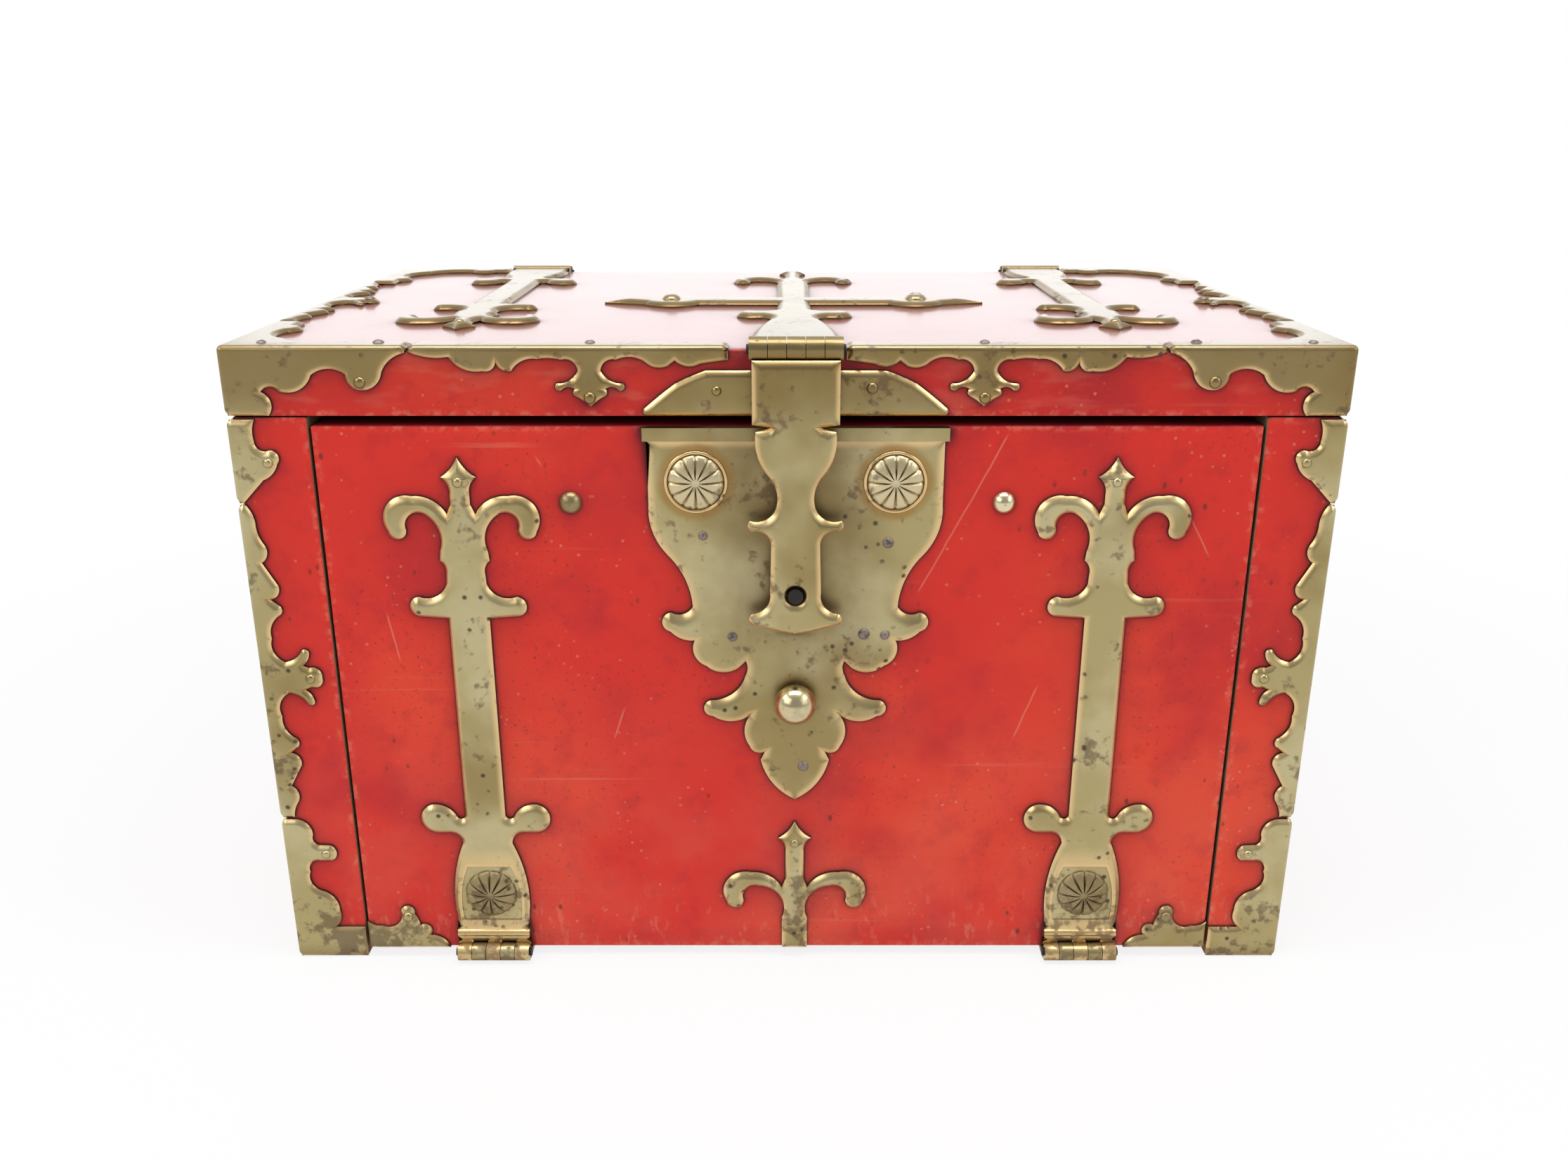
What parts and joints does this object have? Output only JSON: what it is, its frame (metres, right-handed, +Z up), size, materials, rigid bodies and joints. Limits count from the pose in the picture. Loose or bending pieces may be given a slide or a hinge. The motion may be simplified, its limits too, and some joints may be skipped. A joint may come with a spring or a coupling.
{
  "type": "strongbox",
  "caption": "Red-painted wooden strongbox with scalloped brass mounts, a hinged lid, a drop front on strap hinges, a hasp with a lock, and side handles.",
  "frame": {"origin": "on the floor, under the middle of the wooden box", "axes": "+X to the right seen from the front, the front faces -Y, +Z up"},
  "size_m": [0.42, 0.268, 0.2538],
  "materials": {
    "painted_wood": "worn red paint over softwood boards",
    "brass": "cast brass, aged, with dark tarnish",
    "iron": "dark wrought iron"
  },
  "bodies": {
    "case": {"back_board": "painted_wood", "base_corner_back_left": "brass", "base_corner_back_right": "brass", "base_corner_front_left": "brass", "base_corner_front_right": "brass", "bottom_board": "painted_wood", "edge_mount_back_left": "brass", "edge_mount_back_right": "brass", "edge_mount_front_left": "brass", "edge_mount_front_right": "brass", "front_hinge_base_leaf_left": "brass", "front_hinge_base_leaf_right": "brass", "handle_plate_left": "brass", "handle_plate_right": "brass", "left_front_stile": "painted_wood", "left_side_board": "painted_wood", "lid_hinge_back_leaf_left": "brass", "lid_hinge_back_leaf_right": "brass", "right_front_stile": "painted_wood", "right_side_board": "painted_wood", "stile_mount_back_left": "brass", "stile_mount_back_right": "brass", "stile_mount_front_left": "brass", "stile_mount_front_right": "brass"},
    "lid": {"hasp_pin": "iron", "hasp_strap": "brass", "lid_corner_back_left": "brass", "lid_corner_back_right": "brass", "lid_corner_front_left": "brass", "lid_corner_front_right": "brass", "lid_front_mount_left": "brass", "lid_front_mount_right": "brass", "lid_front_rim": "painted_wood", "lid_hinge_pins": "iron", "lid_left_rim": "painted_wood", "lid_plate": "brass", "lid_right_rim": "painted_wood", "lid_side_mount_left": "brass", "lid_side_mount_right": "brass", "lid_strap_left": "brass", "lid_strap_right": "brass", "lid_top_board": "painted_wood"},
    "hasp": {"hasp": "brass", "hasp_staple": "iron"},
    "fall_front": {"bottom_fleur": "brass", "escutcheon": "brass", "front_hinge_pins": "iron", "front_panel": "painted_wood", "front_strap_left": "brass", "front_strap_right": "brass", "lock_case": "iron", "lock_cover": "iron", "panel_corner_left": "brass", "panel_corner_right": "brass", "panel_studs": "brass", "pull_knob": "brass", "rosettes": "brass"},
    "lock_bolt": {"lock_bolt": "iron"},
    "left_handle": {"handle_bail_left": "brass"},
    "right_handle": {"handle_bail_right": "brass"}
  },
  "joints": [
    {"name": "lid_hinge", "type": "hinge", "parent": "case", "child": "lid", "pos_m": [0, 0.1272, 0.2468], "axis": [-1, 0, 0], "range_deg": [0, 110]},
    {"name": "hasp_hinge", "type": "hinge", "parent": "lid", "child": "hasp", "pos_m": [0.003, -0.1284, 0.2494], "axis": [-1, 0, 0], "range_deg": [0, 200]},
    {"name": "front_hinge", "type": "hinge", "parent": "case", "child": "fall_front", "pos_m": [0, -0.127, 0.0042], "axis": [1, 0, 0], "range_deg": [0, 84]},
    {"name": "lock_bolt_slide", "type": "slide", "parent": "fall_front", "child": "lock_bolt", "axis": [1, 0, 0], "range_m": [0, 0.007]},
    {"name": "left_handle_swing", "type": "hinge", "parent": "case", "child": "left_handle", "pos_m": [-0.205, 0, 0.15], "axis": [0, 1, 0], "range_deg": [0, 175]},
    {"name": "right_handle_swing", "type": "hinge", "parent": "case", "child": "right_handle", "pos_m": [0.205, 0, 0.15], "axis": [0, -1, 0], "range_deg": [0, 175]}
  ],
  "couplings": [
    {"joint": "hasp_hinge", "follows": "lid_hinge", "ratio": 1.8182},
    {"joint": "front_hinge", "follows": "lid_hinge", "ratio": 0.76364}
  ]
}
